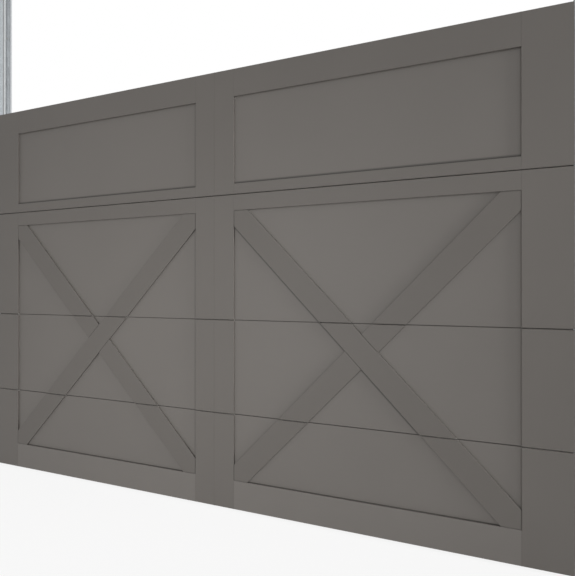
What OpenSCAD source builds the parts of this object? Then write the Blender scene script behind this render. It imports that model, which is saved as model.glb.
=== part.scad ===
// Carriage-style sectional garage door with overlay boards, in its vertical-lift track frame.
// Millimetres. +Z is up, -Y faces the street, the origin is on the floor under the middle of the leaf.

/* [Door leaf] */
// Width of the leaf
door_w = 3048; // [2400:1:3700]
// Height of each of the two lower sections
short_section_h = 457.2; // [400:0.1:560]
// Height of each of the two upper sections
tall_section_h = 609.6; // [540:0.1:700]
// Thickness of a section without its overlay boards
leaf_t = 44; // [40:1:60]
// Thickness of the steel skins
skin_t = 0.6; // [0.5:0.1:1.5]
// Strip of bare core between the front and back skins
thermal_break = 8; // [4:1:12]
// Gap between two sections on the outside
joint_gap = 4; // [3:0.5:6]
// Height of the tongue on top of a section
tongue_h = 12; // [10:1:18]
// Width of the tongue at its root
tongue_root_w = 25; // [22:1:30]
// Width of the tongue at its tip
tongue_tip_w = 18; // [16:1:21]
// Play between tongue and groove
tongue_play = 1.5; // [1:0.5:3]
// Thickness of the end stiles and centre stile plates
stile_plate_t = 1.2; // [1:0.1:2]
// Width of the stile plates on the back
stile_plate_w = 76; // [70:1:110]
// Distance of the centre hinge columns from the middle
centre_hinge_x = 510; // [300:1:700]

/* [Overlay boards] */
// Thickness of the boards
board_t = 10; // [8:0.5:20]
// Chamfer along the front edges of the boards
board_chamfer = 1.2; // [0.5:0.1:3]
// Gap where two boards butt
butt_gap = 0.6; // [0.3:0.1:2]
// Width of the stile boards at the sides
side_stile_w = 176; // [120:1:230]
// Width of the pair of stile boards in the middle
centre_stile_w = 215; // [150:1:300]
// Seam between the two middle boards
centre_seam = 2; // [1:0.5:6]
// Height of the rail along the top edge
top_rail_h = 134; // [90:1:180]
// Height of the rail at the foot of the top section
frieze_rail_h = 52; // [40:1:90]
// Height of the rail at the head of the crossed panels
cross_rail_h = 78; // [50:1:120]
// Height of the rail along the bottom edge
bottom_rail_h = 138; // [90:1:180]
// Width of the diagonal boards
brace_w = 105; // [60:1:130]

/* [Bottom edge] */
// Height of the leaf above the floor
seal_drop = 12; // [10:1:25]
// Width of the weather seal
seal_w = 22; // [18:1:30]
// Wall of the weather seal
seal_wall = 2.4; // [1.5:0.1:3.5]
// Thickness of the seal's retainer
retainer_t = 2; // [1.5:0.1:3]

/* [Hinges and rollers] */
// Thickness of the hinge plates
hinge_t = 2; // [1.5:0.1:4]
// Width of a hinge
hinge_w = 66; // [60:1:70]
// Height of each hinge plate
hinge_plate_h = 58; // [50:1:80]
// Radius of the hinge knuckles
knuckle_r = 6; // [5.5:0.1:8]
// Radius of the hinge pins
hinge_pin_r = 3.9; // [3:0.1:4.5]
// Distance of the hinge pins behind the stile plates
hinge_pin_off = 9; // [8.5:0.5:14]
// Radius of the roller stems
stem_r = 5.55; // [5:0.05:6.5]
// Wall of the tubes that carry the stems
stem_tube_wall = 2.4; // [1.8:0.1:4]
// Radius of the roller wheels
wheel_r = 23.5; // [20:0.5:30]
// Width of the roller wheels
wheel_w = 12; // [10:1:16]
// Distance of the wheels' middle outside the leaf
wheel_out = 34; // [30:1:44]
// Radial running play of a wheel on its stem
wheel_play = 0.05; // [0.02:0.01:0.1]
// Height of the lowest rollers above the leaf's bottom edge
bottom_roller_z = 100; // [90:1:140]
// Distance of the highest rollers below the leaf's top edge
top_roller_z = 64; // [60:1:110]

/* [Track frame] */
// Travel of the leaf from shut to open
lift_travel = 2130; // [1800:1:2134]
// Thickness of the track steel
track_t = 2; // [1.5:0.1:3]
// Depth of the track channel
track_depth = 30; // [28:1:40]
// Play between a wheel and each track flange
track_play = 0.7; // [0.4:0.1:1.5]
// Length of the lips on the track's open side
track_lip = 8; // [5:0.5:12]
// Thickness of the wall angles
angle_t = 2.5; // [2:0.5:5]
// Width of the wall angles on the wall
angle_w = 70; // [50:1:100]
// Gap between the boards and the wall plane
wall_gap = 3; // [1:0.5:10]
// Radius of the wall screw holes
wall_hole_r = 5.5; // [4:0.5:8]
// Number of wall screws in each angle
wall_holes = 8; // [4:2:10]
// Distance of the last wall holes from the angle's ends
wall_hole_end = 120; // [60:1:300]
// Gap between the angles and the floor
angle_foot = 6; // [2:1:20]

/* [Counterbalance] */
// Radius of the torsion shaft
shaft_r = 12.7; // [10:0.1:16]
// Radius of the drums under the cable
drum_r = 51; // [45:1:80]
// Width of a drum
drum_w = 56; // [40:1:60]
// Radius of the lift cables
cable_r = 1.6; // [1.2:0.1:2.5]
// Distance of the lift cables outside the leaf
cable_out = 9; // [8:0.5:10]
// Distance of the lift cables behind the middle of the leaf
cable_y = 12; // [5:1:16]
// Inner radius of the torsion springs
spring_r = 25.5; // [22:0.5:35]
// Wire thickness of the torsion springs
spring_wire = 6.2; // [4:0.1:8]
// Number of turns in each torsion spring
spring_turns = 110; // [60:1:140]
// Thickness of the bracket plates
bracket_t = 3; // [2:0.5:6]

/* [Hidden] */
$fn = 48;
paint = "#6d6965";
board_paint = "#67635f";
galvanised = "#b9bcbe";
white_steel = "#e4e4e0";
black = "#2b2b2b";
nylon = "#e9e7df";
eps = 0.01;

// The four sections, from the floor up
SECTIONS = ["bottom", "lower", "upper", "top"];
section_h = [short_section_h, short_section_h, tall_section_h, tall_section_h];
last = len(SECTIONS) - 1;
function height_below(s) = s == 0 ? 0 : height_below(s - 1) + section_h[s - 1];
function section_z(s) = seal_drop + height_below(s);
door_h = height_below(last) + section_h[last];
leaf_top = seal_drop + door_h;
half_w = door_w / 2;
half_t = leaf_t / 2;
fit = 0.1;
cut_over = 1;

// The shoulders of section s, above its own foot
function shoulder_low(s) = s == 0 ? 0 : joint_gap / 2;
function shoulder_high(s) = section_h[s] - (s == last ? 0 : joint_gap / 2);

// Planes behind the leaf
plate_y = half_t + stile_plate_t;
hinge_pin_y = plate_y + hinge_pin_off;
stem_tube_r = stem_r + fit + stem_tube_wall;
knuckle_gap = 1;
stem_y = hinge_pin_y + knuckle_r + knuckle_gap + stem_tube_r;
wall_y = -half_t - board_t - wall_gap;

// Rollers: heights from the floor, and the track that holds them
joint_z = [for (s = [1:last]) section_z(s)];
roller_z = concat([seal_drop + bottom_roller_z], joint_z, [leaf_top - top_roller_z]);
wheel_x = half_w + wheel_out;
wheel_side_gap = 0.4;
stem_head_lip = 3.5;
stem_clip_lip = 2.5;
stem_head_t = 2.5;
stem_head_gap = 2;
track_in = wheel_r + track_play;
track_web_x = wheel_x + wheel_w / 2 + wheel_side_gap + stem_head_t + stem_head_gap + track_t;
track_spare = 30;
track_top = leaf_top + lift_travel + track_spare;

// Counterbalance
cable_x = half_w + cable_out;
cable_gap = 0.3;
shaft_y = cable_y + cable_r + cable_gap + drum_r;
drum_clear = 40;
shaft_z = track_top + drum_r + drum_clear;
angle_head = 60;
angle_top = shaft_z + angle_head;
bearing_wall = 12;
bearing_r = shaft_r + bearing_wall;
bearing_w = 14;
bearing_clear = 6;
spring_len = spring_wire * spring_turns;
cone_flange_t = 8;
cone_flange_r = 42;
cone_spigot = 40;
cone_bore_play = 1;
spring_end_gap = 0.3;
anchor_x = bracket_t / 2;
spring_x = anchor_x + cone_flange_t + spring_end_gap;
cable_pin_up = 40;
cable_pin_z = section_z(0) + cable_pin_up;

// Drawing helpers

// Extrudes a YZ profile along X, centred on the middle of the door
module along_x(length) {
    rotate([90, 0, 90]) linear_extrude(length, center = true) children();
}

// A cylinder along X from x0 to x1
module rod_x(r, x0, x1) {
    translate([x0, 0, 0]) rotate([0, 90, 0]) cylinder(r = r, h = x1 - x0);
}

// A body of revolution about X; its profile has X across and the radius up
module turned_x() {
    rotate([0, 90, 0]) rotate([0, 0, 90]) rotate_extrude() rotate(90) mirror([0, 1]) children();
}

// Both the right-hand piece and its mirror image
module both_sides() {
    children();
    mirror([1, 0, 0]) children();
}

// The left or the right copy of a right-hand piece
module on_side(left) {
    mirror([left ? 1 : 0, 0, 0]) children();
}

// Sections

// Outline of section s in the YZ plane, set in from its true faces by inset
function section_outline(s, inset) =
    let (
        a = half_t - inset,
        lo = shoulder_low(s) + inset,
        hi = shoulder_high(s) - inset,
        root = tongue_root_w / 2,
        tip = tongue_tip_w / 2,
        roof = shoulder_low(s) + tongue_h - joint_gap + tongue_play + inset,
        groove = s == 0 ? [] : [[-root - tongue_play - inset, lo], [-tip - tongue_play - inset, roof],
                                [tip + tongue_play + inset, roof], [root + tongue_play + inset, lo]],
        tongue = s == last ? [] : [[root - inset, hi], [tip - inset, hi + tongue_h],
                                   [-tip + inset, hi + tongue_h], [-root + inset, hi]]
    )
    concat([[-a, lo]], groove, [[a, lo], [a, hi]], tongue, [[-a, hi]]);

module skin_profile(s, front) {
    intersection() {
        difference() {
            polygon(section_outline(s, 0));
            polygon(section_outline(s, skin_t));
        }
        mirror([front ? 0 : 1, 0])
            translate([-leaf_t, -leaf_t]) square([leaf_t - thermal_break / 2, section_h[s] + 2 * leaf_t]);
    }
}

module skin(s, front) {
    color(front ? paint : white_steel) translate([0, 0, section_z(s)])
        along_x(door_w - 2 * stile_plate_t) skin_profile(s, front);
}

module core(s) {
    color("#e8dfc4") translate([0, 0, section_z(s)])
        along_x(door_w - 2 * stile_plate_t) polygon(section_outline(s, skin_t));
}

cap_lap = 1;

// Caps over both ends of a section, folded on to its back, and the two plates behind the centre hinges
module stile_plates(s) {
    lo = shoulder_low(s);
    strip_h = shoulder_high(s) - lo;
    color(galvanised) translate([0, 0, section_z(s)]) {
        both_sides() {
            translate([half_w - stile_plate_t / 2, 0, 0]) along_x(stile_plate_t) {
                polygon(section_outline(s, 0));
                translate([half_t - cap_lap, lo]) square([cap_lap + stile_plate_t, strip_h]);
            }
            translate([half_w - stile_plate_w, half_t, lo]) cube([stile_plate_w, stile_plate_t, strip_h]);
            translate([centre_hinge_x - stile_plate_w / 2, half_t, lo])
                cube([stile_plate_w, stile_plate_t, strip_h]);
        }
    }
}

// Overlay boards

// A chamfered board on the front skin, drawn from its outline in the XZ plane
module board(outline) {
    color(board_paint) translate([0, -half_t, 0]) rotate([90, 0, 0]) hull() {
        linear_extrude(board_t - board_chamfer) polygon(outline);
        linear_extrude(board_t) offset(delta = -board_chamfer) polygon(outline);
    }
}

function rect(x0, z0, x1, z1) = [[x0, z0], [x1, z0], [x1, z1], [x0, z1]];

// The part of a convex outline on the side of a line where n * p <= d
function clip(p, n, d) = [
    for (i = [0:len(p) - 1])
        let (a = p[i], b = p[(i + 1) % len(p)], fa = n * a - d, fb = n * b - d)
            each concat(fa <= 0 ? [a] : [], fa * fb < 0 ? [a + (b - a) * fa / (fa - fb)] : [])
];
function clip_rect(p, x0, z0, x1, z1) =
    clip(clip(clip(clip(p, [-1, 0], -x0), [1, 0], x1), [0, -1], -z0), [0, 1], z1);

// Heights between which the boards of section s lie
function board_low(s) = section_z(s) + shoulder_low(s);
function board_high(s) = section_z(s) + shoulder_high(s);

// The right-hand panel, between the centre and side stiles
panel_x0 = centre_stile_w / 2;
panel_x1 = half_w - side_stile_w;
cross_z0 = section_z(0) + bottom_rail_h;
cross_z1 = section_z(2) + section_h[2] - cross_rail_h;

module stile_boards(s) {
    lo = board_low(s);
    hi = board_high(s);
    both_sides() {
        board(rect(panel_x1, lo, half_w, hi));
        board(rect(centre_seam / 2, lo, panel_x0, hi));
    }
}

// A rail between the stiles, on both sides of the middle
module rail_boards(lo, hi) {
    both_sides() board(rect(panel_x0 + butt_gap, lo, panel_x1 - butt_gap, hi));
}

module top_rail_boards() {
    rail_boards(board_high(last) - top_rail_h, board_high(last));
    rail_boards(board_low(last), section_z(last) + frieze_rail_h);
}

module upper_rail_boards() {
    rail_boards(cross_z1, board_high(2));
}

module bottom_rail_boards() {
    rail_boards(board_low(0), cross_z0);
}

// The diagonals of the right-hand panel: the falling one runs through, the rising one stops against it
cross_mid = [(panel_x0 + panel_x1) / 2, (cross_z0 + cross_z1) / 2];
cross_run = [panel_x1 - panel_x0, cross_z1 - cross_z0];
falling = [cross_run.x, -cross_run.y] / norm(cross_run);
rising = [cross_run.x, cross_run.y] / norm(cross_run);
falling_normal = [-falling.y, falling.x];
rising_normal = [-rising.y, rising.x];

function strip(dir, normal) =
    let (reach = dir * norm(cross_run), side = normal * brace_w / 2)
    [cross_mid - reach - side, cross_mid + reach - side, cross_mid + reach + side, cross_mid - reach + side];

// The piece of a diagonal that lies on section s, between the rails and the stiles
function brace_piece(p, s) =
    clip_rect(p, panel_x0 + butt_gap, max(board_low(s), cross_z0 + butt_gap),
              panel_x1 - butt_gap, min(board_high(s), cross_z1 - butt_gap));

function rising_half(sign) =
    clip(strip(rising, rising_normal), -sign * falling_normal,
         -sign * (falling_normal * cross_mid) - brace_w / 2 - butt_gap);

module brace_boards(s) {
    pieces = [strip(falling, falling_normal), rising_half(1), rising_half(-1)];
    both_sides()
        for (p = pieces)
            if (len(brace_piece(p, s)) > 2) board(brace_piece(p, s));
}

// Bottom edge

retainer_lip = 3;
retainer_inset = 4;
seal_round = 3;

module seal_retainer() {
    color("silver") translate([0, 0, seal_drop]) along_x(door_w) {
        translate([-half_t + retainer_inset, -retainer_t]) square([leaf_t - 2 * retainer_inset, retainer_t]);
        for (side = [-1, 1])
            translate([side * (seal_w / 2 + retainer_lip / 2) - retainer_lip / 2, -retainer_t - retainer_lip])
                square([retainer_lip, retainer_lip + eps]);
    }
}

// A flat-bottomed tube of rubber, gripped between the retainer's lips
module bottom_seal() {
    top = seal_drop - retainer_t;
    color(black) along_x(door_w) difference() {
        union() {
            translate([-seal_w / 2 + seal_round, 0]) square([seal_w - 2 * seal_round, top]);
            translate([-seal_w / 2, seal_round]) square([seal_w, top - seal_round]);
            for (side = [-1, 1])
                translate([side * (seal_w / 2 - seal_round), seal_round]) circle(r = seal_round);
        }
        translate([-seal_w / 2 + seal_wall, seal_wall]) square([seal_w - 2 * seal_wall, top - 2 * seal_wall]);
    }
}

// Stiffening and handling

strut_h = 72;
strut_d = 46;
strut_web_h = 34;
strut_t = 1.2;
strut_end_gap = 90;
strut_up = 100;
strut_down = 90;
strut_len = door_w - 2 * (stile_plate_w + strut_end_gap);
strut_z = [section_z(0) + strut_up, leaf_top - strut_down];

// Hat-shaped steel strut, open at its ends
module struts() {
    color(galvanised) for (z = strut_z) translate([0, plate_y, z]) along_x(strut_len)
        polygon(hat_outline());
}

// The hat's outline in YZ: flanges at the leaf, crown behind
function hat_outline() =
    let (f = strut_h / 2, w = strut_web_h / 2, crown = strut_d - strut_t)
    [[0, w - strut_t], [0, f], [strut_t, f], [strut_t, w], [strut_d, w],
     [strut_d, -w], [strut_t, -w], [strut_t, -f], [0, -f], [0, -w + strut_t],
     [crown, -w + strut_t], [crown, w - strut_t]];

handle_w = 150;
handle_reach = 42;
handle_r = 6;
handle_bend = 16;
handle_up = 250;
handle_z = section_z(0) + handle_up;
handle_foot = [34, 44, 3];

// A bent round bar on two feet, at hand height on the inside
module lift_handle() {
    bar_y = half_t + handle_foot.z + handle_reach;
    color(galvanised) translate([0, 0, handle_z]) {
        both_sides() {
            translate([handle_w / 2 - handle_foot.x / 2, half_t, -handle_foot.y / 2])
                cube([handle_foot.x, handle_foot.z, handle_foot.y]);
            translate([handle_w / 2, half_t + handle_foot.z - eps, 0]) rotate([-90, 0, 0])
                cylinder(r = handle_r, h = handle_reach - handle_bend + eps);
            translate([handle_w / 2 - handle_bend, bar_y - handle_bend, 0])
                rotate_extrude(angle = 90) translate([handle_bend, 0]) circle(r = handle_r);
        }
        translate([0, bar_y, 0])
            rod_x(handle_r, -handle_w / 2 + handle_bend - eps, handle_w / 2 - handle_bend + eps);
    }
}

// Hinges

hinge_split = 0.4;
flap_knuckle_w = 24;
hinge_clear = 5;
hinge_x = [centre_hinge_x, half_w - stile_plate_w / 2];
gusset_drop = 34;
gusset_root = 18;
curl_root = 8;
curl_start = 6;
curl_lean = 30;
tube_lean = 37;

// Side view of a hinge half, below its pin: plate, curl and knuckle
module hinge_plate_profile() {
    translate([plate_y, -hinge_plate_h]) square([hinge_t, hinge_plate_h - hinge_clear]);
}

module hinge_curl_profile() {
    foot = hinge_clear + curl_start + curl_root;
    c = knuckle_r * cos(curl_lean);
    s = knuckle_r * sin(curl_lean);
    difference() {
        union() {
            translate([hinge_pin_y, 0]) circle(r = knuckle_r);
            polygon([[plate_y, -foot], [plate_y + hinge_t, -foot], [hinge_pin_y + c, -s], [hinge_pin_y, 0],
                     [hinge_pin_y - c, -s], [plate_y, -foot + curl_root]]);
        }
        translate([hinge_pin_y, 0]) circle(r = hinge_pin_r + fit);
    }
}

// Side view of a roller carrier: a gusset from the plate out to the stem tube
module carrier_profile(drop) {
    c = stem_tube_r * cos(tube_lean);
    s = stem_tube_r * sin(tube_lean);
    difference() {
        union() {
            translate([stem_y, 0]) circle(r = stem_tube_r);
            polygon([[plate_y, -drop], [plate_y + hinge_t, -drop], [stem_y + c, -s], [stem_y, 0],
                     [stem_y - c, -s], [plate_y, -drop + gusset_root]]);
        }
        translate([stem_y, 0]) circle(r = stem_r + fit);
    }
}

curl_w = (hinge_w - flap_knuckle_w) / 2 - hinge_split;

// Lower half of a hinge, with two knuckles
module hinge_body() {
    along_x(hinge_w) hinge_plate_profile();
    both_sides() translate([hinge_w / 2 - curl_w / 2, 0, 0]) along_x(curl_w) hinge_curl_profile();
}

// Upper half of a hinge, with the middle knuckle
module hinge_flap() {
    mirror([0, 0, 1]) {
        along_x(hinge_w) hinge_plate_profile();
        along_x(flap_knuckle_w) hinge_curl_profile();
    }
}

module at_hinges(columns) {
    for (z = joint_z, x = columns) both_sides() translate([x, 0, z]) children();
}

module centre_hinges() {
    color(galvanised) at_hinges([hinge_x[0]]) hinge_body();
}

carrier_rib_t = 6;
carrier_w = 54;
carrier_margin = 6;

module end_hinges() {
    color(galvanised) at_hinges([hinge_x[1]]) {
        hinge_body();
        for (side = [-1, 1])
            translate([side * (carrier_w / 2 - carrier_rib_t / 2), 0, 0])
                along_x(carrier_rib_t) carrier_profile(hinge_plate_h - carrier_margin);
        stem_tube(carrier_w);
    }
}

module stem_tube(length) {
    along_x(length) translate([stem_y, 0]) difference() {
        circle(r = stem_tube_r);
        circle(r = stem_r + fit);
    }
}

module hinge_flaps() {
    color(galvanised) at_hinges(hinge_x) hinge_flap();
}

pin_head_t = 2;
pin_head_lip = 1.1;
pin_head_r = hinge_pin_r + pin_head_lip;

module hinge_pins() {
    color("dimgray") at_hinges(hinge_x) translate([0, hinge_pin_y, 0]) {
        rod_x(hinge_pin_r, -hinge_w / 2 - fit - eps, hinge_w / 2 + fit + eps);
        both_sides() rod_x(pin_head_r, hinge_w / 2 + fit, hinge_w / 2 + fit + pin_head_t);
    }
}

// Corner brackets

corner_plate_h = 120;
corner_edge = 4;
corner_x = half_w - stile_plate_w / 2;
cable_pin_r = 5;
cable_pin_gap = 1;
cable_pin_head = [2.5, 2];

// A roller carrier on a plain plate
module corner_bracket(plate_low) {
    along_x(hinge_w) translate([plate_y, plate_low]) square([hinge_t, corner_plate_h]);
    for (side = [-1, 1])
        translate([side * (carrier_w / 2 - carrier_rib_t / 2), 0, 0])
            along_x(carrier_rib_t) carrier_profile(gusset_drop);
    stem_tube(carrier_w);
}

module top_brackets() {
    color(galvanised) both_sides()
        translate([corner_x, 0, roller_z[len(roller_z) - 1]])
            corner_bracket(top_roller_z - corner_plate_h - corner_edge);
}

// The bottom bracket also wraps round the leaf's end and holds the cable's pin
module bottom_brackets() {
    wrap_h = 90;
    wrap_t = 3;
    wrap_front = 2;
    z0 = section_z(0) + corner_edge;
    head_x = cable_x + cable_r + cable_pin_gap;
    color(galvanised) both_sides() {
        translate([corner_x, 0, roller_z[0]]) corner_bracket(corner_edge - bottom_roller_z);
        translate([half_w, -wrap_front, z0]) cube([wrap_t, plate_y + hinge_t + wrap_front, wrap_h]);
        translate([corner_x + hinge_w / 2 - eps, plate_y, z0])
            cube([half_w + wrap_t - corner_x - hinge_w / 2 + eps, hinge_t, wrap_h]);
        translate([0, cable_y, cable_pin_z]) {
            rod_x(cable_pin_r, half_w + wrap_t - eps, head_x);
            rod_x(cable_pin_r + cable_pin_head[0], head_x - eps, head_x + cable_pin_head[1]);
        }
    }
}

// Rollers

stem_tail = 4;
stem_inner_x = half_w - stile_plate_w / 2 - carrier_w / 2 - stem_tail;

module roller_stem() {
    hub = wheel_w / 2 + wheel_side_gap;
    translate([0, stem_y, 0]) {
        rod_x(stem_r, stem_inner_x, wheel_x + hub + eps);
        rod_x(stem_r + stem_head_lip, wheel_x + hub, wheel_x + hub + stem_head_t);
        rod_x(stem_r + stem_clip_lip, wheel_x - hub - stem_head_t, wheel_x - hub);
    }
}

module roller_stems() {
    color("silver") for (z = roller_z) both_sides() translate([0, 0, z]) roller_stem();
}

// Nylon wheel with a rounded tread and dished sides
module roller_wheel() {
    bore = stem_r + wheel_play;
    tread = 3;
    dish_depth = 2;
    dish_low = 0.5;
    dish_high = 0.78;
    w = wheel_w / 2;
    color(nylon) translate([wheel_x, stem_y, 0]) turned_x() difference() {
        union() {
            translate([-w, bore]) square([2 * w, wheel_r - tread - bore]);
            translate([-w + tread, bore]) square([2 * (w - tread), wheel_r - bore]);
            for (side = [-1, 1]) translate([side * (w - tread), wheel_r - tread]) circle(r = tread);
        }
        for (side = [-1, 1])
            translate([side * w - dish_depth, wheel_r * dish_low])
                square([2 * dish_depth, wheel_r * (dish_high - dish_low)]);
    }
}

module roller(i, left) {
    on_side(left) translate([0, 0, roller_z[i]]) roller_wheel();
}

// Track frame

// Plan of the right-hand track: web outside, two flanges, and lips at the open side
module track_plan() {
    outer = track_in + track_t;
    mouth = track_web_x - track_depth;
    translate([0, stem_y]) {
        difference() {
            translate([mouth, -outer]) square([track_depth, 2 * outer]);
            translate([mouth - eps, -track_in]) square([track_depth - track_t + eps, 2 * track_in]);
        }
        for (side = [-1, 1])
            translate([mouth, side * (track_in - track_lip / 2 + eps) - track_lip / 2])
                square([track_t, track_lip]);
    }
}

module track(left) {
    color(white_steel) on_side(left) translate([0, 0, angle_foot])
        linear_extrude(track_top - angle_foot) track_plan();
}

wall_hole_pitch = (angle_top - angle_foot - 2 * wall_hole_end) / (wall_holes - 1);
wall_hole_share = 0.58;
function wall_hole_z(i) = angle_foot + wall_hole_end + i * wall_hole_pitch;

// Angle that stands on the wall and carries the track; above the track it is cut back to clear the bearing
module wall_angle(left) {
    deep = stem_y + track_in + track_t - wall_y;
    shallow = shaft_y - bearing_r - bearing_clear - wall_y;
    color(white_steel) on_side(left) difference() {
        translate([track_web_x, wall_y, angle_foot]) {
            linear_extrude(angle_top - angle_foot) {
                square([angle_t, shallow]);
                square([angle_w, angle_t]);
            }
            linear_extrude(track_top - angle_foot) square([angle_t, deep]);
        }
        for (i = [0:wall_holes - 1])
            translate([track_web_x + angle_w * wall_hole_share, wall_y - cut_over, wall_hole_z(i)])
                rotate([-90, 0, 0]) cylinder(r = wall_hole_r, h = angle_t + 2 * cut_over);
    }
}

// Counterbalance

plate_x = track_web_x + angle_t;
plate_reach = 44;
plate_wall_gap = 2;

// Plates on the outside of the wall angles that hold the shaft's ends
module bearing_plates() {
    y0 = wall_y + angle_t + plate_wall_gap;
    color(galvanised) both_sides() translate([plate_x + bracket_t / 2, 0, shaft_z])
        along_x(bracket_t) difference() {
            union() {
                translate([y0, -plate_reach]) square([shaft_y - y0, 2 * plate_reach]);
                translate([shaft_y, 0]) circle(r = plate_reach);
            }
            translate([shaft_y, 0]) circle(r = bearing_r);
        }
}

bearing_lip = 2;
bearing_lip_gap = 0.2;
race_depth = 1.5;
race_w = 4;

// A bearing in each end plate, held by a lip on both sides of the plate
module shaft_bearings() {
    bore = shaft_r + wheel_play;
    lip_x = bracket_t / 2 + bearing_lip_gap + bearing_lip / 2;
    color("silver") both_sides() translate([plate_x + bracket_t / 2, shaft_y, shaft_z])
        turned_x() difference() {
            union() {
                translate([-bearing_w / 2, bore]) square([bearing_w, bearing_r - wheel_play - bore]);
                for (side = [-1, 1])
                    translate([side * lip_x - bearing_lip / 2, bore])
                        square([bearing_lip, bearing_r + bearing_lip - bore]);
            }
            for (side = [-1, 1])
                translate([side * bearing_w / 2 - race_depth, (shaft_r + bearing_r - race_w) / 2])
                    square([2 * race_depth, race_w]);
        }
}

bracket_half_h = 60;
bracket_foot_w = 70;
bracket_hole_share = [0.31, 0.66];

// Upright plate on a foot on the wall, in the middle of the shaft
module centre_bracket() {
    color(galvanised) translate([0, 0, shaft_z]) {
        along_x(bracket_t) difference() {
            union() {
                translate([wall_y, -bracket_half_h]) square([shaft_y - wall_y, 2 * bracket_half_h]);
                translate([shaft_y, 0]) circle(r = bracket_half_h);
            }
            translate([shaft_y, 0]) circle(r = shaft_r + cone_bore_play);
        }
        difference() {
            translate([-bracket_foot_w / 2, wall_y, -bracket_half_h])
                cube([bracket_foot_w, bracket_t, 2 * bracket_half_h]);
            for (x = [-1, 1], z = [-1, 1])
                translate([x * bracket_foot_w * bracket_hole_share[0], wall_y - cut_over,
                           z * bracket_half_h * bracket_hole_share[1]])
                    rotate([-90, 0, 0]) cylinder(r = wall_hole_r, h = bracket_t + 2 * cut_over);
        }
    }
}

// Stationary cones, bolted to the centre bracket, that hold the springs' inner ends
module spring_anchors() {
    bore = shaft_r + cone_bore_play;
    color("#8a8d8f") both_sides() translate([anchor_x, shaft_y, shaft_z]) turned_x() {
        translate([0, bore]) square([cone_flange_t, cone_flange_r - bore]);
        translate([0, bore]) square([cone_flange_t + cone_spigot, spring_r - fit - bore]);
    }
}

coil_valley = 0.72;
coil_flat = [0.3, 0.7];

// Close-wound springs: each turn is a ridge round the tube
module torsion_springs() {
    inner = spring_r;
    ridge = spring_r + spring_wire;
    valley = spring_r + spring_wire * coil_valley;
    color("#6f7376") both_sides() translate([spring_x, shaft_y, shaft_z]) turned_x()
        polygon(concat(
            [[0, inner], [0, valley]],
            [for (i = [0:spring_turns - 1])
                each [[(i + coil_flat[0]) * spring_wire, ridge], [(i + coil_flat[1]) * spring_wire, ridge],
                      [(i + 1) * spring_wire, valley]]],
            [[spring_len, inner]]
        ));
}

shaft_stub = 40;
shaft_end = plate_x + bracket_t + shaft_stub;

module torsion_shaft() {
    color("silver") translate([0, shaft_y, shaft_z]) rod_x(shaft_r, -shaft_end, shaft_end);
}

drum_groove = 4;
drum_rim_t = 9;
drum_hub_wall = 16;
drum_web_t = 8;
drum_flange = [4, 6];
groove_depth = 2;
groove_land = 0.2;

// Grooved rim, web and hub, with the cable leaving the rim at its middle
module cable_drums() {
    turns = floor(drum_w / (2 * drum_groove)) * 2 - 2;
    rim_in = drum_r - drum_rim_t;
    first = -turns * drum_groove / 2;
    bore = shaft_r + fit;
    color("#9a9da0") both_sides() translate([cable_x, shaft_y, shaft_z]) turned_x() {
        translate([-drum_w / 2, bore]) square([drum_w, drum_hub_wall]);
        translate([-drum_web_t / 2, bore]) square([drum_web_t, rim_in - bore + cut_over]);
        translate([-drum_w / 2, rim_in]) square([drum_w, drum_rim_t - groove_depth + fit]);
        translate([-drum_w / 2, rim_in]) square([drum_flange[0], drum_rim_t + drum_flange[1]]);
        for (i = [0:turns])
            translate([first + i * drum_groove, drum_r])
                polygon([[-drum_groove / 2, -groove_depth], [drum_groove / 2, -groove_depth],
                         [0, -groove_land]]);
    }
}

cone_r = 37;
cone_collar = 46;
bar_socket_r = 6.5;
bar_socket_wall = 8;

// Cones at the springs' outer ends, fixed to the shaft, with sockets for winding bars
module winding_cones() {
    bore = shaft_r + fit;
    color("#8a3b32") both_sides() translate([spring_x + spring_len, shaft_y, shaft_z]) difference() {
        turned_x() {
            translate([spring_end_gap, bore]) square([cone_collar, cone_r - bore]);
            translate([-cone_spigot, bore]) square([cone_spigot + cut_over, spring_r - fit - bore]);
        }
        for (a = [0:90:270])
            translate([cone_collar / 2, 0, 0]) rotate([a, 0, 0])
                translate([0, 0, shaft_r + bar_socket_wall]) cylinder(r = bar_socket_r, h = cone_r);
    }
}

cable_eye_play = 0.3;
ferrule_r = 3.4;
ferrule_h = 22;

// Wire ropes from the bottom brackets' pins up to the drums
module lift_cables() {
    eye = cable_pin_r + cable_eye_play;
    wire_z = eye + 2 * cable_eye_play;
    ferrule_z = cable_pin_r + cable_pin_head[0] + cable_eye_play;
    color("gray") both_sides() translate([cable_x, cable_y, cable_pin_z]) {
        along_x(2 * cable_r) difference() {
            circle(r = eye + 2 * cable_r);
            circle(r = eye);
        }
        translate([0, 0, wire_z]) cylinder(r = cable_r, h = shaft_z - cable_pin_z - wire_z);
        translate([0, 0, ferrule_z]) cylinder(r = ferrule_r, h = ferrule_h);
    }
}

// Every node by name
for (s = [0:last]) {
    skin(s, true);
    core(s);
    skin(s, false);
    stile_plates(s);
    stile_boards(s);
}
top_rail_boards();
upper_rail_boards();
bottom_rail_boards();
brace_boards(2);  // upper_brace_boards
brace_boards(1);  // lower_brace_boards
brace_boards(0);  // bottom_brace_boards
seal_retainer();
bottom_seal();
struts();
lift_handle();
end_hinges();
centre_hinges();
hinge_flaps();
hinge_pins();
bottom_brackets();
top_brackets();
roller_stems();
for (i = [0:len(roller_z) - 1]) {
    roller(i, true);
    roller(i, false);
}
lift_cables();
track(true);  // left_track
track(false);  // right_track
wall_angle(true);  // left_wall_angle
wall_angle(false);  // right_wall_angle
bearing_plates();
shaft_bearings();
centre_bracket();
spring_anchors();
torsion_springs();
torsion_shaft();
cable_drums();
winding_cones();
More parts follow.
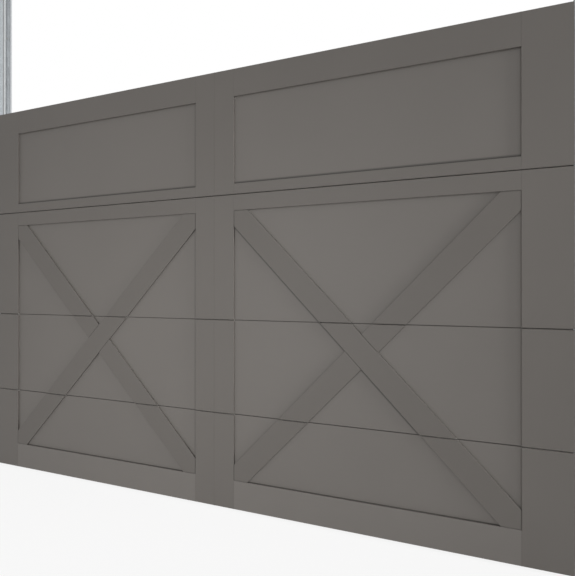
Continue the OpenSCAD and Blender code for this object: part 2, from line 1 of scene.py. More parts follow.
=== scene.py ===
"""Looks of a carriage-style sectional garage door in its plumb track frame.

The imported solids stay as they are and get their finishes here. Small fasteners, filler in the boards' joints
and turns of cable on the drums are added to them. Springs wound from wire and cables with eyes and ferrules
take the place of the plain ones.
"""

from __future__ import annotations

import logging
import math
from contextlib import contextmanager
from dataclasses import dataclass, field
from enum import Enum
from functools import reduce
from typing import Any, Callable, Iterator, Mapping, Sequence, Union

import bpy
from mathutils import Matrix, Vector

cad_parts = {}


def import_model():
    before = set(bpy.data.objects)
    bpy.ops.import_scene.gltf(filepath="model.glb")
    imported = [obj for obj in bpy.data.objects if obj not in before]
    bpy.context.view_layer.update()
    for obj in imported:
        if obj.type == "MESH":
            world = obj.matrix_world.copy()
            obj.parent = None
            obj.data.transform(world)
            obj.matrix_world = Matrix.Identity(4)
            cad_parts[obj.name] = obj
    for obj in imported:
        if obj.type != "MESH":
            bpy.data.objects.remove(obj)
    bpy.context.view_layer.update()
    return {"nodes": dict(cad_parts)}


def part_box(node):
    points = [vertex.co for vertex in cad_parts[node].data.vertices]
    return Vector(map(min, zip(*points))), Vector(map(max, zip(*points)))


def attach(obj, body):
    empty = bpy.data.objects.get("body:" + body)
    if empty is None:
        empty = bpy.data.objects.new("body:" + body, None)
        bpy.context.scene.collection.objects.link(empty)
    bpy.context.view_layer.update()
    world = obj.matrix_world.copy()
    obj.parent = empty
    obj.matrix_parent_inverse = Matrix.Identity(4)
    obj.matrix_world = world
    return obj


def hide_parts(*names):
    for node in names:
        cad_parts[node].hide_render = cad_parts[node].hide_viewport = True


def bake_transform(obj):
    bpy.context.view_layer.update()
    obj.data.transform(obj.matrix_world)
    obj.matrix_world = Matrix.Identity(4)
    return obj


LOG = logging.getLogger("garage_door")
MM = 0.001
FACES_ALONG = 0.9  # least share of an axis in the normal of a face that looks along it
FACES_ASIDE = 0.3  # most share of an axis in the normal of a face that looks away from it
SECTIONS = ("bottom", "lower", "upper", "top")

Triple = tuple[float, float, float]
Colour = Triple
Number = Union[int, float]


def from_screen(red: Number, green: Number, blue: Number) -> Colour:
    """Turns a screen colour into the linear colour that shaders take.

    Args:
        red: Red from 0 to 255.
        green: Green from 0 to 255.
        blue: Blue from 0 to 255.

    Returns:
        The colour as three linear values from 0 to 1.
    """
    shares = (red / 255, green / 255, blue / 255)
    return tuple(c / 12.92 if c <= 0.04045 else ((c + 0.055) / 1.055) ** 2.4 for c in shares)


class Socket:
    """A shader value that takes part in plain Python arithmetic."""

    def __init__(self, graph: Graph, socket: bpy.types.NodeSocket) -> None:
        """Wraps an output socket of a graph."""
        self.graph = graph
        self.socket = socket

    def math(self, operation: str, *others: Value, clamp: bool = False) -> Socket:
        """Adds one Math node whose first value is this."""
        return self.graph.math(operation, self, *others, clamp=clamp)

    def __add__(self, other: Value) -> Socket:
        """This plus another value."""
        return self.math("ADD", other)

    def __radd__(self, other: Number) -> Socket:
        """A number plus this."""
        return self.math("ADD", other)

    def __sub__(self, other: Value) -> Socket:
        """This minus another value."""
        return self.math("SUBTRACT", other)

    def __rsub__(self, other: Number) -> Socket:
        """A number minus this."""
        return self.graph.math("SUBTRACT", other, self)

    def __mul__(self, other: Value) -> Socket:
        """This times another value."""
        return self.math("MULTIPLY", other)

    def __rmul__(self, other: Number) -> Socket:
        """A number times this."""
        return self.math("MULTIPLY", other)

    def __truediv__(self, other: Value) -> Socket:
        """This divided by another value."""
        return self.math("DIVIDE", other)

    def __rtruediv__(self, other: Number) -> Socket:
        """A number divided by this."""
        return self.graph.math("DIVIDE", other, self)

    def __abs__(self) -> Socket:
        """This without its sign."""
        return self.math("ABSOLUTE")

    def clamped(self) -> Socket:
        """This, kept from 0 to 1."""
        return self.math("ADD", 0.0, clamp=True)

    def near(self, place: Value, reach: Number) -> Socket:
        """One where this equals a place, falling to zero at a reach to either side."""
        return (1 - abs(self - place) / reach).clamped()

    def swing(self) -> Socket:
        """This noise about its middle, from -0.5 to 0.5."""
        return self - 0.5

    def largest(self, other: Value) -> Socket:
        """The larger of this and another value."""
        return self.math("MAXIMUM", other)


Value = Union[Socket, Number]


class Graph:
    """A node tree that is written in Python expressions."""

    def __init__(self, tree: bpy.types.NodeTree) -> None:
        """Takes over a node tree."""
        self.tree = tree

    def node(
        self,
        kind: str,
        settings: Mapping[str, Any] | None = None,
        inputs: Mapping[int | str, Any] | None = None,
        output: int | str = 0,
    ) -> Socket:
        """Adds any node.

        Args:
            kind: The node's type.
            settings: The node's own settings, which are set first.
            inputs: Values, or sockets to link, by socket name or number.
            output: The output that is wanted.

        Returns:
            That output.
        """
        node = self.tree.nodes.new(kind)
        for name, value in (settings or {}).items():
            setattr(node, name, value)
        for name, value in (inputs or {}).items():
            self.feed(node.inputs[name], value)
        return Socket(self, node.outputs[output])

    def feed(self, socket: bpy.types.NodeSocket, value: Any) -> None:
        """Links a socket, or sets its value; a colour may leave its alpha out.

        Args:
            socket: The input socket.
            value: A socket to link, or a plain value.
        """
        if isinstance(value, Socket):
            self.tree.links.new(value.socket, socket)
        elif socket.type == "RGBA" and len(value) == 3:
            socket.default_value = (*value, 1.0)
        else:
            socket.default_value = value

    def math(self, operation: str, *values: Value, clamp: bool = False) -> Socket:
        """Adds one Math node.

        Args:
            operation: The node's operation.
            values: What it works on.
            clamp: Whether the result is kept from 0 to 1.

        Returns:
            The node's result.
        """
        settings = {"operation": operation, "use_clamp": clamp}
        return self.node("ShaderNodeMath", settings, dict(enumerate(values)))

    def mix(self, share: Value, first: Any, second: Any, blend: str = "MIX") -> Socket:
        """Mixes two colours.

        Args:
            share: How much of the second colour shows.
            first: The first colour.
            second: The second colour.
            blend: The way in which they mix.

        Returns:
            The mixed colour.
        """
        settings = {"data_type": "RGBA", "blend_type": blend}
        return self.node("ShaderNodeMix", settings, {0: share, 6: first, 7: second}, output=2)


class Surface(Graph):
    """A material on Blender's main shader."""

    def __init__(self, name: str) -> None:
        """Starts an empty material.

        Args:
            name: The material's name.
        """
        self.material = bpy.data.materials.new(name)
        self.material.use_nodes = True
        super().__init__(self.material.node_tree)
        self.shader = self.tree.nodes["Principled BSDF"]
        self.place = self.node("ShaderNodeTexCoord", output="Object")

    def split(self) -> tuple[Socket, Socket, Socket]:
        """The place on the surface as X, Y and Z.

        Returns:
            The three values.
        """
        first = self.node("ShaderNodeSeparateXYZ", inputs={0: self.place})
        outputs = first.socket.node.outputs
        return first, Socket(self, outputs[1]), Socket(self, outputs[2])

    def stretched(self, scale: Triple) -> Socket:
        """The place on the surface, scaled for a pattern."""
        return self.node("ShaderNodeMapping", inputs={"Vector": self.place, "Scale": scale})

    def noise(self, scale: Number, detail: Number = 3.0, place: Socket | None = None, **more: Number) -> Socket:
        """Soft noise from 0 to 1.

        Args:
            scale: Features per metre.
            detail: Levels of finer noise.
            place: The coordinates, or the surface's own.
            more: Further inputs of the noise node.

        Returns:
            The noise.
        """
        inputs = {"Vector": place or self.place, "Scale": scale, "Detail": detail, **more}
        return self.node("ShaderNodeTexNoise", inputs=inputs)

    def bump(self, height: Socket, distance: Number, strength: Number = 1.0) -> None:
        """Feeds a height pattern to the shader's normal."""
        inputs = {"Height": height, "Distance": distance, "Strength": strength}
        self.set(Normal=self.node("ShaderNodeBump", inputs=inputs))

    def set(self, **sockets: Any) -> None:
        """Sets the shader's sockets; an underscore in a name stands for a space."""
        for name, value in sockets.items():
            self.feed(self.shader.inputs[name.replace("_", " ")], value)

    def tinted(self, colour: Colour, tone: Socket) -> Socket:
        """A colour times a tone that varies over the surface."""
        grey = self.node("ShaderNodeCombineColor", inputs={0: tone, 1: tone, 2: tone})
        return self.mix(1.0, colour, grey, "MULTIPLY")

    def cover(self, share: Socket, colour: Colour) -> None:
        """Lays a colour over the base colour, by a share that varies over the surface."""
        base = Socket(self, self.shader.inputs["Base Color"].links[0].from_socket)
        self.set(Base_Color=self.mix(share, base, colour))


class Grain(Enum):
    """Which way the embossed wood grain of a painted surface runs, as stretches along X, Y and Z."""

    UPRIGHT = (1.0, 1.0, 0.045)
    LEVEL = (0.045, 1.0, 1.0)
    NONE = (1.0, 1.0, 1.0)


class Finish:
    """A finish that builds its own material."""

    def surface(self) -> Surface:
        """Builds the finish's surface."""
        raise NotImplementedError

    def material(self) -> bpy.types.Material:
        """Builds the finish's material."""
        return self.surface().material


@dataclass(frozen=True)
class Paint(Finish):
    """Low-sheen paint over an embossed wood grain."""

    name: str
    colour: Colour
    grain: Grain = Grain.NONE
    grain_depth: float = 0.22 * MM
    mottling: float = 0.06
    roughness: float = 0.57
    specular: float = 0.28
    fibres_per_m: float = 260.0
    fibre_edge: float = 0.62
    pores_per_m: float = 900.0
    pore_share: float = 0.3
    clouds_per_m: float = 1.7
    sheen_change: float = 0.18
    relief: float = 0.55

    def surface(self) -> Surface:
        """Builds the paint's surface.

        Returns:
            The surface.
        """
        surface = Surface(self.name)
        along = surface.stretched(self.grain.value)
        fibres = surface.noise(self.fibres_per_m, detail=4.0, place=along, Roughness=self.fibre_edge)
        pores = surface.noise(self.pores_per_m, detail=2.0, place=along)
        clouds = surface.noise(self.clouds_per_m)
        tone = 1 + self.mottling * fibres.swing() + 2 * self.mottling * clouds.swing()
        surface.set(
            Base_Color=surface.tinted(self.colour, tone),
            Roughness=self.roughness + self.sheen_change * fibres.swing(),
            Specular_IOR_Level=self.specular,
        )
        height = (1 - self.pore_share) * fibres + self.pore_share * pores
        surface.bump(height, self.grain_depth, self.relief)
        return surface


@dataclass(frozen=True)
class Metal(Finish):
    """Bare or plated metal with fine scratches and a cloudy tone."""

    name: str
    colour: Colour
    roughness: float = 0.38
    clouding: float = 0.16
    spangle: float = 0.0
    streaks: Triple = (60.0, 60.0, 60.0)
    metallic: float = 1.0
    streaks_per_m: float = 6.0
    clouds_per_m: float = 7.0
    crystals_per_m: float = 110.0
    cloud_sheen: float = 0.22
    streak_sheen: float = 0.16
    scratch_depth: float = 0.05 * MM
    relief: float = 0.3

    def surface(self) -> Surface:
        """Builds the metal's surface.

        Returns:
            The surface.
        """
        surface = Surface(self.name)
        fine = surface.noise(self.streaks_per_m, detail=4.0, place=surface.stretched(self.streaks))
        cloud = surface.noise(self.clouds_per_m, detail=4.0)
        tone = 1 + self.clouding * cloud.swing() + 0.5 * self.clouding * fine.swing()
        if self.spangle:
            settings = {"feature": "F1", "distance": "EUCLIDEAN"}
            inputs = {"Vector": surface.place, "Scale": self.crystals_per_m}
            crystals = surface.node("ShaderNodeTexVoronoi", settings, inputs, "Color")
            bright = surface.node("ShaderNodeSeparateColor", inputs={0: crystals})
            tone = tone + self.spangle * bright.swing()
        surface.set(
            Base_Color=surface.tinted(self.colour, tone),
            Metallic=self.metallic,
            Roughness=self.roughness + self.cloud_sheen * cloud.swing() + self.streak_sheen * fine.swing(),
        )
        surface.bump(fine, self.scratch_depth, self.relief)
        return surface


@dataclass(frozen=True)
class Moulded(Finish):
    """Rubber, nylon or foam: a dull surface with a fine skin."""

    name: str
    colour: Colour
    roughness: float = 0.6
    skin_per_m: float = 400.0
    depth: float = 0.08 * MM
    clouds_per_m: float = 9.0
    clouding: float = 0.16
    speckle: float = 0.1
    sheen_change: float = 0.2
    relief: float = 0.6

    def surface(self) -> Surface:
        """Builds the moulding's surface.

        Returns:
            The surface.
        """
        surface = Surface(self.name)
        skin = surface.noise(self.skin_per_m)
        cloud = surface.noise(self.clouds_per_m)
        tone = 1 + self.clouding * cloud.swing() + self.speckle * skin.swing()
        surface.set(
            Base_Color=surface.tinted(self.colour, tone),
            Roughness=self.roughness + self.sheen_change * skin.swing(),
        )
        surface.bump(skin, self.depth, self.relief)
        return surface


GALVANISED = Metal("galvanised steel", from_screen(186, 190, 192), spangle=0.18)
FRAME_GALVANISED = Metal("frame galvanised", from_screen(192, 195, 197), spangle=0.2)
TRACK_STEEL = Metal("track steel", from_screen(208, 211, 213), roughness=0.36, clouding=0.12, spangle=0.12)
ZINC_PLATE = Metal("zinc plate", from_screen(196, 196, 190), roughness=0.3)
ZINC_SCREW = Metal("zinc screw", from_screen(190, 189, 180), roughness=0.3, clouding=0.3)
ZINC_BOLT = Metal("zinc bolt", from_screen(198, 197, 188), roughness=0.28, clouding=0.3)
BLACK_OXIDE = Metal("black oxide", from_screen(62, 62, 64), roughness=0.4, clouding=0.3)
EXTRUSION = Metal("extrusion", from_screen(200, 200, 200), roughness=0.4)
CAST_ALLOY = Metal("cast alloy", from_screen(168, 170, 172), roughness=0.5, clouding=0.2)
DRUM_ALLOY = Metal("drum alloy", from_screen(178, 180, 182), roughness=0.46, clouding=0.2)
CONE_PAINT = Metal("cone paint", from_screen(132, 46, 38), roughness=0.42, clouding=0.2, metallic=0.0)
BEARING_STEEL = Metal("bearing steel", from_screen(205, 205, 204), roughness=0.22)
SHAFT_STEEL = Metal("shaft steel", from_screen(188, 190, 192), roughness=0.3, clouding=0.2, streaks=(8.0, 90.0, 90.0))
SPRING_STEEL = Metal("spring steel", from_screen(98, 100, 103), roughness=0.42, clouding=0.3)
SPRING_WIRE = Metal("oiled spring wire", from_screen(92, 94, 97), roughness=0.36, clouding=0.3)
WIRE_ROPE = Metal("wire rope", from_screen(150, 152, 153), roughness=0.4, clouding=0.2)
WOUND_ROPE = Metal("wound rope", from_screen(150, 152, 153), roughness=0.4, clouding=0.3, streaks=(900.0, 60.0, 60.0))
FOAM = Moulded("foam", from_screen(233, 223, 190), roughness=0.9, skin_per_m=700.0, depth=0.2 * MM)
SEAL_RUBBER = Moulded("seal rubber", from_screen(38, 38, 38), roughness=0.8)
NYLON = Moulded("nylon", from_screen(231, 228, 218), roughness=0.45)


class Bench:
    """Modelling as by hand: primitives, edit mode and modifiers."""

    @staticmethod
    def focus(piece: bpy.types.Object) -> None:
        """Selects one object alone and makes it active.

        Args:
            piece: The object.
        """
        bpy.ops.object.select_all(action="DESELECT")
        piece.select_set(True)
        bpy.context.view_layer.objects.active = piece

    @staticmethod
    def primitive(kind: str, name: str, **sizes: Any) -> bpy.types.Object:
        """Adds a mesh primitive.

        Args:
            kind: The operator's word, such as "cylinder".
            name: The object's name.
            sizes: The operator's arguments.

        Returns:
            The new object, selected alone.
        """
        bpy.ops.object.select_all(action="DESELECT")
        getattr(bpy.ops.mesh, f"primitive_{kind}_add")(**sizes)
        piece = bpy.context.object
        piece.name = piece.data.name = name
        return piece

    @staticmethod
    @contextmanager
    def editing(piece: bpy.types.Object, mode: str = "FACE") -> Iterator[None]:
        """Edit mode on one object, with nothing selected at first.

        Args:
            piece: The object.
            mode: What is selected: faces, edges or vertices.

        Returns:
            The context, which ends in object mode.
        """
        Bench.focus(piece)
        bpy.ops.object.mode_set(mode="EDIT")
        bpy.ops.mesh.select_mode(type=mode)
        bpy.ops.mesh.select_all(action="DESELECT")
        yield
        bpy.ops.object.mode_set(mode="OBJECT")

    @staticmethod
    def pick_faces(piece: bpy.types.Object, test: Callable[[Vector, Vector], bool]) -> None:
        """Selects, in edit mode, the faces whose centre and normal pass a test.

        Args:
            piece: The object in edit mode.
            test: Takes a face's centre and normal.
        """
        bpy.ops.object.mode_set(mode="OBJECT")
        for face in piece.data.polygons:
            face.select = test(face.center, face.normal)
        bpy.ops.object.mode_set(mode="EDIT")

    @staticmethod
    def settle(piece: bpy.types.Object) -> bpy.types.Object:
        """Moves an object's place into its mesh.

        Args:
            piece: The object.

        Returns:
            The same object, at the origin.
        """
        Bench.focus(piece)
        bpy.ops.object.transform_apply(location=True, rotation=True, scale=True)
        return piece

    @staticmethod
    def modify(piece: bpy.types.Object, kind: str, **settings: Any) -> None:
        """Adds a modifier and applies it.

        Args:
            piece: The object.
            kind: The modifier's type.
            settings: The modifier's settings.
        """
        Bench.focus(piece)
        modifier = piece.modifiers.new(kind.title(), kind)
        for name, value in settings.items():
            setattr(modifier, name, value)
        bpy.ops.object.modifier_apply(modifier=modifier.name)

    @staticmethod
    def join(pieces: Sequence[bpy.types.Object], name: str) -> bpy.types.Object:
        """Joins objects into one with a new name.

        Args:
            pieces: The objects, which are used up.
            name: The joined object's name.

        Returns:
            The joined object.
        """
        Bench.focus(pieces[0])
        for piece in pieces:
            piece.select_set(True)
        if len(pieces) > 1:
            bpy.ops.object.join()
        joined = bpy.context.view_layer.objects.active
        joined.name = joined.data.name = name
        return joined

    @staticmethod
    def copies(pattern: bpy.types.Object, places: Sequence[Matrix], name: str) -> bpy.types.Object:
        """Copies a pattern to every place and joins the copies.

        Args:
            pattern: The object to copy; it is used up.
            places: Where the copies go.
            name: The joined object's name.

        Returns:
            The joined object.
        """
        made = []
        for place in places:
            copy = pattern.copy()
            copy.data = pattern.data.copy()
            copy.data.transform(place)
            bpy.context.scene.collection.objects.link(copy)
            made.append(copy)
        bpy.data.objects.remove(pattern)
        return Bench.join(made, name)

    @staticmethod
    def turn_out(piece: bpy.types.Object) -> None:
        """Turns all faces of an object outwards.

        Args:
            piece: The object.
        """
        with Bench.editing(piece):
            bpy.ops.mesh.select_all(action="SELECT")
            bpy.ops.mesh.normals_make_consistent(inside=False)

    @staticmethod
    def smooth(piece: bpy.types.Object, angle_deg: float = 35.0) -> bpy.types.Object:
        """Shades an object smoothly, apart from its sharp edges.

        Args:
            piece: The object.
            angle_deg: The angle from which an edge is sharp.

        Returns:
            The same object.
        """
        Bench.focus(piece)
        bpy.ops.object.shade_smooth_by_angle(angle=math.radians(angle_deg))
        return piece


def facing(normal: Vector, place: Vector, turn_deg: float = 0.0) -> Matrix:
    """A matrix that takes a piece built along +Z to a place, facing along a normal.

    Args:
        normal: The way that the piece's +Z points afterwards.
        place: Where its origin goes.
        turn_deg: A turn about its own axis first.

    Returns:
        The matrix.
    """
    turn = Matrix.Rotation(math.radians(turn_deg), 4, "Z")
    aim = Vector((0, 0, 1)).rotation_difference(normal).to_matrix().to_4x4()
    return Matrix.Translation(place) @ aim @ turn


def right_half(node: str) -> tuple[Vector, Vector]:
    """The lowest and highest corner of the part of a node that lies right of the middle.

    Args:
        node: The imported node's name.

    Returns:
        The two corners.
    """
    corners = [vertex.co for vertex in bpy.data.objects[node].data.vertices if vertex.co.x > 0]
    low = Vector([min(corner[axis] for corner in corners) for axis in range(3)])
    high = Vector([max(corner[axis] for corner in corners) for axis in range(3)])
    return low, high


def mirrored(places: Sequence[Vector]) -> list[Vector]:
    """Places on the right and their mirror images on the left."""
    return [Vector((side * place.x, place.y, place.z)) for place in places for side in (1, -1)]


@dataclass
class Fastener:
    """A hexagon head on a round washer, built along +Z from the surface that it clamps."""

    across: float = 8.0 * MM
    head: float = 4.0 * MM
    washer_r: float = 6.2 * MM
    washer: float = 1.1 * MM
    washer_sides: int = 20
    washer_land: float = 0.25
    washer_dish: float = 0.35
    head_land: float = 0.12
    head_dish: float = 0.12
    head_bevel: float = 0.05

    def build(self) -> bpy.types.Object:
        """Models one fastener with a bevelled head and a dished washer.

        Returns:
            The fastener.
        """
        washer = Bench.primitive(
            "cylinder", "washer", vertices=self.washer_sides, radius=self.washer_r, depth=self.washer,
            location=(0, 0, self.washer / 2))
        Bench.settle(washer)
        with Bench.editing(washer):
            Bench.pick_faces(washer, lambda centre, normal: normal.z > FACES_ALONG)
            bpy.ops.mesh.inset(thickness=self.washer_land * self.washer_r)
            bpy.ops.transform.translate(value=(0, 0, self.washer_dish * self.washer))
        head = Bench.primitive(
            "cylinder", "head", vertices=6, radius=self.across / math.sqrt(3), depth=self.head,
            location=(0, 0, self.washer + self.head / 2))
        Bench.settle(head)
        with Bench.editing(head):
            Bench.pick_faces(head, lambda centre, normal: normal.z > FACES_ALONG)
            bpy.ops.mesh.inset(thickness=self.head_land * self.across)
            bpy.ops.transform.translate(value=(0, 0, -self.head_dish * self.head))
            Bench.pick_faces(head, lambda centre, normal: abs(normal.z) < FACES_ASIDE)
            bpy.ops.mesh.bevel(offset=self.head_bevel * self.across, segments=1)
        return Bench.join([washer, head], "fastener")


@dataclass
class Rivet:
    """A low domed rivet head, built along +Z."""

    radius: float = 4.6 * MM
    height: float = 1.5 * MM
    sides: int = 18
    rim: float = 0.4
    steps: tuple[tuple[float, float], ...] = ((0.22, 0.32), (0.25, 0.2), (0.25, 0.08))

    def build(self) -> bpy.types.Object:
        """Models one head by insetting and raising the top of a disc.

        Returns:
            The head.
        """
        head = Bench.primitive(
            "cylinder", "rivet", vertices=self.sides, radius=self.radius, depth=self.rim * self.height,
            location=(0, 0, self.rim * self.height / 2))
        Bench.settle(head)
        with Bench.editing(head):
            Bench.pick_faces(head, lambda centre, normal: normal.z > FACES_ALONG)
            for step, rise in self.steps:
                bpy.ops.mesh.inset(thickness=step * self.radius)
                bpy.ops.transform.translate(value=(0, 0, rise * self.height))
        return head


def dress(node: bpy.types.Object, material: bpy.types.Material) -> None:
    """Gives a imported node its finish.

    Args:
        node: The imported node.
        material: Its finish.
    """
    if not node.material_slots:
        node.data.materials.append(material)
    for slot in node.material_slots:
        slot.material = material


def place_piece(piece: bpy.types.Object, body: str, material: bpy.types.Material) -> None:
    """Finishes a new piece and lets it ride.

    Args:
        piece: The piece, at its place.
        body: The body that it moves with.
        material: Its finish.
    """
    piece.data.materials.clear()
    piece.data.materials.append(material)
    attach(piece, body)
    LOG.info("%s rides on %s", piece.name, body)


@dataclass(frozen=True)
class Boards:
    """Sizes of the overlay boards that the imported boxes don't give."""

    top_rail: float = 134 * MM
    frieze_rail: float = 52 * MM
    brace: float = 105 * MM
    chamfer: float = 1.2 * MM
    butt_gap: float = 0.6 * MM

    @staticmethod
    def panel_sides() -> tuple[float, float]:
        """The inner and the outer side of the right-hand panels."""
        low, high = right_half("upper_rail_boards")
        return low.x, high.x

    @staticmethod
    def cross_heights() -> tuple[float, float]:
        """The bottom and the top of the crossed panels."""
        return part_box("bottom_rail_boards")[1].z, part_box("upper_rail_boards")[0].z

    def rail_heights(self) -> dict[str, tuple[float, float]]:
        """The lowest and the highest point of the four rails.

        Returns:
            Both heights by the rail's name.
        """
        foot, head = (corner.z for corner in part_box("top_rail_boards"))
        low, high = self.cross_heights()
        return {
            "top": (head - self.top_rail, head),
            "frieze": (foot, foot + self.frieze_rail),
            "cross": (high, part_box("upper_rail_boards")[1].z),
            "bottom": (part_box("bottom_rail_boards")[0].z, low),
        }

    @staticmethod
    def joints() -> list[float]:
        """The heights of the joints between the sections."""
        boxes = [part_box(f"{section}_stile_boards") for section in SECTIONS]
        return [(below[1].z + above[0].z) / 2 for below, above in zip(boxes, boxes[1:])]

    @staticmethod
    def front() -> float:
        """The boards' front plane."""
        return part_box("lower_stile_boards")[0].y


@dataclass
class Leaf:
    """The four sections with their boards, hinges and corner brackets."""

    nodes: Mapping[str, bpy.types.Object]
    boards: Boards = field(default_factory=Boards)
    panel_paint: Colour = from_screen(110, 106, 102)
    board_paint: Colour = from_screen(104, 100, 96)
    brace_paint: Colour = from_screen(101, 97, 93)
    kick_paint: Colour = from_screen(113, 109, 105)
    inside_paint: Colour = from_screen(226, 225, 219)
    # Painted shade: how far and how dark the lines painted beside the boards reach, in the lee of the middle stile,
    # on the ledges and under the braces.
    lee_shade_reach: float = 16 * MM
    lee_shade: float = 0.4
    frieze_shade_reach: float = 11.5 * MM
    ledge_shade_reach: float = 3.5 * MM
    ledge_shade: float = 0.95
    brace_shade_reach: float = 10 * MM
    brace_shade: float = 0.9
    # Painted shade on the diagonals next to their butt joints.
    butt_shade_reach: float = 7 * MM
    butt_shade: float = 0.35
    # Painted shade on the bottom rail's edges behind the chamfer.
    kick_edge_shade: float = 0.45
    # The colour of the painted shade on the panels, on the bottom rail's edges and at the braces' butts.
    painted_shade: Colour = from_screen(38, 36, 34)
    # Painted light: a pale colour on the boards' cut edges in the section joints, which lifts the shade in the gaps.
    joint_light: Colour = from_screen(188, 185, 180)
    joint_light_reach: float = 6 * MM
    joint_light_share: float = 0.9

    def dress(self) -> None:
        """Finishes every solid of the leaf."""
        galvanised = GALVANISED.material()
        zinc = ZINC_PLATE.material()
        inside = Paint("inside paint", self.inside_paint, Grain.LEVEL, grain_depth=0.1 * MM, mottling=0.03).material()
        foam = FOAM.material()
        upright = self.with_joint_light(Paint("stile paint", self.board_paint, Grain.UPRIGHT)).material
        level = self.with_joint_light(Paint("rail paint", self.board_paint, Grain.LEVEL)).material
        for section in SECTIONS:
            dress(self.nodes[f"{section}_front_skin"], self.panel(section))
            dress(self.nodes[f"{section}_back_skin"], inside)
            dress(self.nodes[f"{section}_core"], foam)
            dress(self.nodes[f"{section}_stile_plates"], galvanised)
            dress(self.nodes[f"{section}_stile_boards"], upright)
        for name in ("top_rail_boards", "upper_rail_boards"):
            dress(self.nodes[name], level)
        dress(self.nodes["bottom_rail_boards"], self.kick())
        braces = self.braces()
        for name in ("upper_brace_boards", "lower_brace_boards", "bottom_brace_boards"):
            dress(self.nodes[name], braces)
        for name in ("struts", "lift_handle", "end_hinges", "centre_hinges", "hinge_flaps", "bottom_brackets",
                     "top_brackets"):
            dress(self.nodes[name], galvanised)
        for name in ("hinge_pins", "roller_stems"):
            dress(self.nodes[name], zinc)
        dress(self.nodes["seal_retainer"], EXTRUSION.material())
        dress(self.nodes["bottom_seal"], SEAL_RUBBER.material())
        nylon = NYLON.material()
        for name, node in self.nodes.items():
            if "_roller_" in name:
                dress(node, nylon)

    def panel(self, section: str) -> bpy.types.Material:
        """Paints one section's skin, with painted shade on the boards' ledges, in their lee and under the braces'
        lower edges.

        Args:
            section: The section's name.

        Returns:
            The skin's material.
        """
        paint = Paint(f"{section} panel paint", self.panel_paint, Grain.LEVEL)
        surface = paint.surface()
        x, _, z = surface.split()
        middle, side = self.boards.panel_sides()
        low, high = self.boards.cross_heights()
        # Painted shade: dark lines in the lee of the middle stile, on the ledges of the frieze and bottom rails, and
        # under the braces' lower edges.
        shade_lines = x.near(-middle, self.lee_shade_reach) * self.lee_shade
        shaded_ledges = {
            "top": (self.boards.rail_heights()["frieze"][1], self.frieze_shade_reach),
            "bottom": (low, self.ledge_shade_reach),
        }
        if section in shaded_ledges:
            shade_lines = shade_lines.largest(z.near(*shaded_ledges[section]) * self.ledge_shade)
        if section in ("lower", "upper"):
            run, rise = side - middle, high - low
            length = math.hypot(run, rise)
            for centre in ((side + middle) / 2, -(side + middle) / 2):
                offset = (x - centre) * (rise / length) + (z - (high + low) / 2) * (run / length)
                shade_lines = shade_lines.largest(offset.near(-self.boards.brace / 2, self.brace_shade_reach) * self.brace_shade)
        surface.cover(shade_lines, self.painted_shade)
        return surface.material

    def behind(self, surface: Surface) -> Socket:
        """One on a board's edges behind the chamfer, and zero on its face."""
        _, y, _ = surface.split()
        return ((y - self.boards.front() - self.boards.chamfer) / self.boards.chamfer).clamped()

    def with_joint_light(self, paint: Paint) -> Surface:
        """Paints boards whose cut edges in the section joints get pale painted light, which lifts the shade in the
        gaps.

        Args:
            paint: The boards' paint.

        Returns:
            The boards' surface.
        """
        surface = paint.surface()
        _, _, z = surface.split()
        # Painted light on the cut edges behind the chamfer near each section joint.
        share = self.behind(surface) * self.joint_light_share
        joint_bands = [z.near(joint, self.joint_light_reach) for joint in self.boards.joints()]
        surface.cover(share * reduce(Socket.largest, joint_bands), self.joint_light)
        return surface

    def kick(self) -> bpy.types.Material:
        """Paints the bottom rail, with painted shade on its edges behind the chamfer.

        Returns:
            The rail's material.
        """
        surface = Paint("bottom rail paint", self.kick_paint, Grain.LEVEL).surface()
        # Painted shade on the rail's edges and ledge behind the chamfer.
        surface.cover(self.behind(surface) * self.kick_edge_shade, self.painted_shade)
        return surface.material

    def braces(self) -> bpy.types.Material:
        """Paints the diagonals, with painted shade where they butt against rails and stiles.

        Returns:
            The diagonals' material.
        """
        surface = self.with_joint_light(Paint("brace paint", self.brace_paint, grain_depth=0.1 * MM))
        x, _, z = surface.split()
        across = abs(x)
        middle, side = self.boards.panel_sides()
        low, high = self.boards.cross_heights()
        upright = across.near(side, self.butt_shade_reach).largest(across.near(middle, self.butt_shade_reach))
        level = z.near(low, self.butt_shade_reach).largest(z.near(high, self.butt_shade_reach))
        # Painted shade on the diagonals' faces next to their butt joints.
        surface.cover(self.butt_shade * upright.largest(level), self.painted_shade)
        return surface.material


